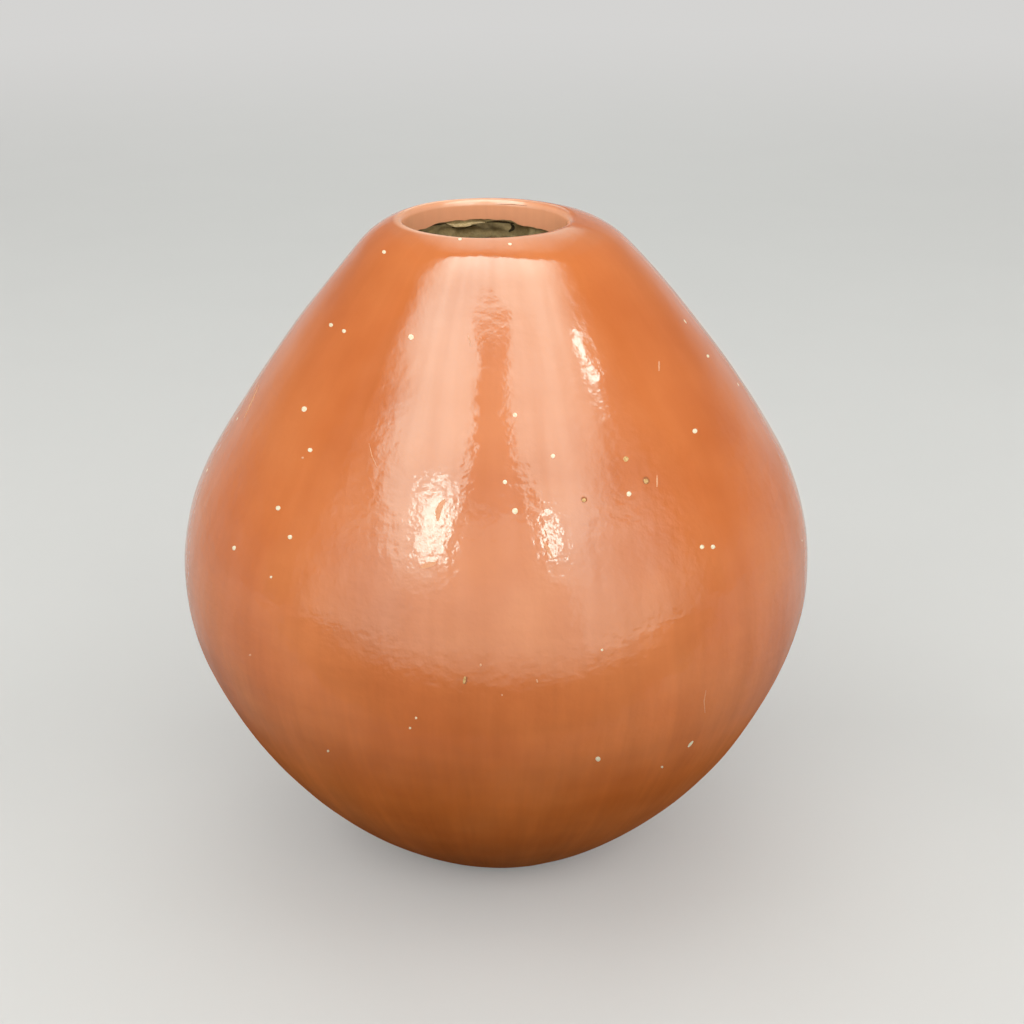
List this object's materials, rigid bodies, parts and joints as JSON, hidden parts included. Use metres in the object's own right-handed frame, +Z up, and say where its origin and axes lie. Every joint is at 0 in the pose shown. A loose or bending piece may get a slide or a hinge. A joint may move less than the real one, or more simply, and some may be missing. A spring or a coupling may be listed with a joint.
{
  "type": "olla",
  "caption": "Round-bellied, hand-built earthenware olla with a small turned-in mouth and a burnished red slip coat, a free-standing jar for holding water, seed or flowers.",
  "frame": {"origin": "centre of the flat foot, on the surface that the pot stands on", "axes": "+Z up along the axis of the pot, towards the mouth; +X and +Y are any two level directions, with -Y towards the pictured side"},
  "size_m": [0.24, 0.24, 0.25],
  "materials": {
    "clay": "unglazed low-fired tan clay, finger-smoothed",
    "slip": "stone-burnished red slip, satin gloss"
  },
  "bodies": {
    "root": {"base_pad": "clay", "wall_coil_1": "clay", "wall_coil_2": "clay", "wall_coil_3": "clay", "wall_coil_4": "clay", "wall_coil_5": "clay", "wall_coil_6": "clay", "wall_coil_7": "clay", "wall_coil_8": "clay", "lip_coil": "clay", "red_slip": "slip"}
  },
  "joints": []
}
